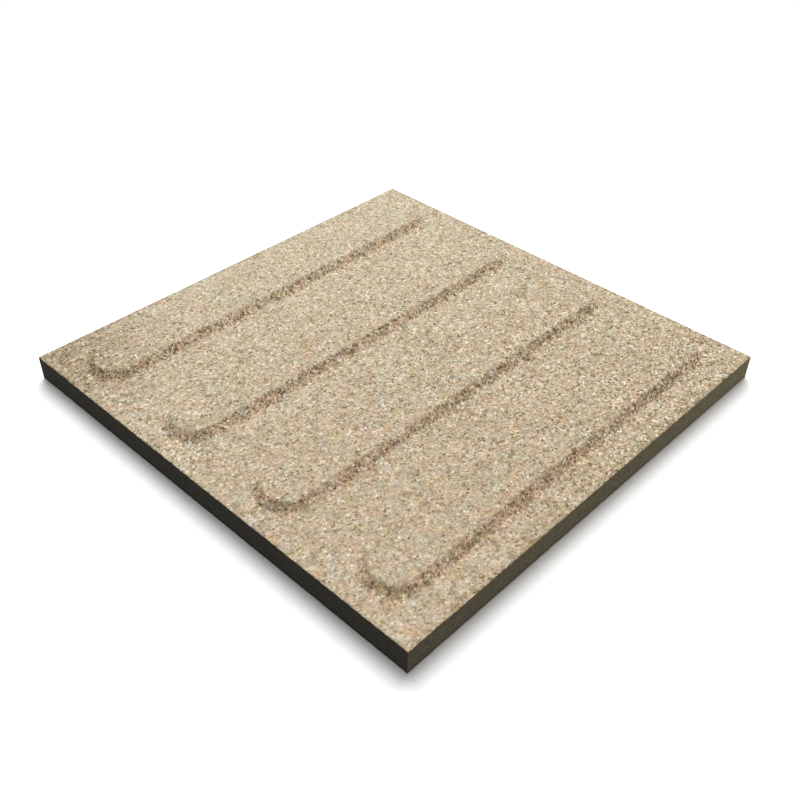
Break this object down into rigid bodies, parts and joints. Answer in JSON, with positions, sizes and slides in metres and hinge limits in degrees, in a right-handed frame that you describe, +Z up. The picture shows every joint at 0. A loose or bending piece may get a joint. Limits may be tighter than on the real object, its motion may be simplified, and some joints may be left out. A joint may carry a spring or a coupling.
{
  "type": "tactile paving slab",
  "caption": "Square granite-look stoneware paving slab with raised round-ended guiding bars that are felt underfoot or by cane.",
  "frame": {"origin": "centre of the bedding face", "axes": "+X along the guiding bars, +Y across them, +Z up out of the walking face"},
  "size_m": [0.298, 0.298, 0.02],
  "materials": {
    "stoneware": "matt sandy granite look on the face, plain dark fired body on the sides and underside"
  },
  "bodies": {
    "root": {"tactile_slab": "stoneware"}
  },
  "joints": []
}
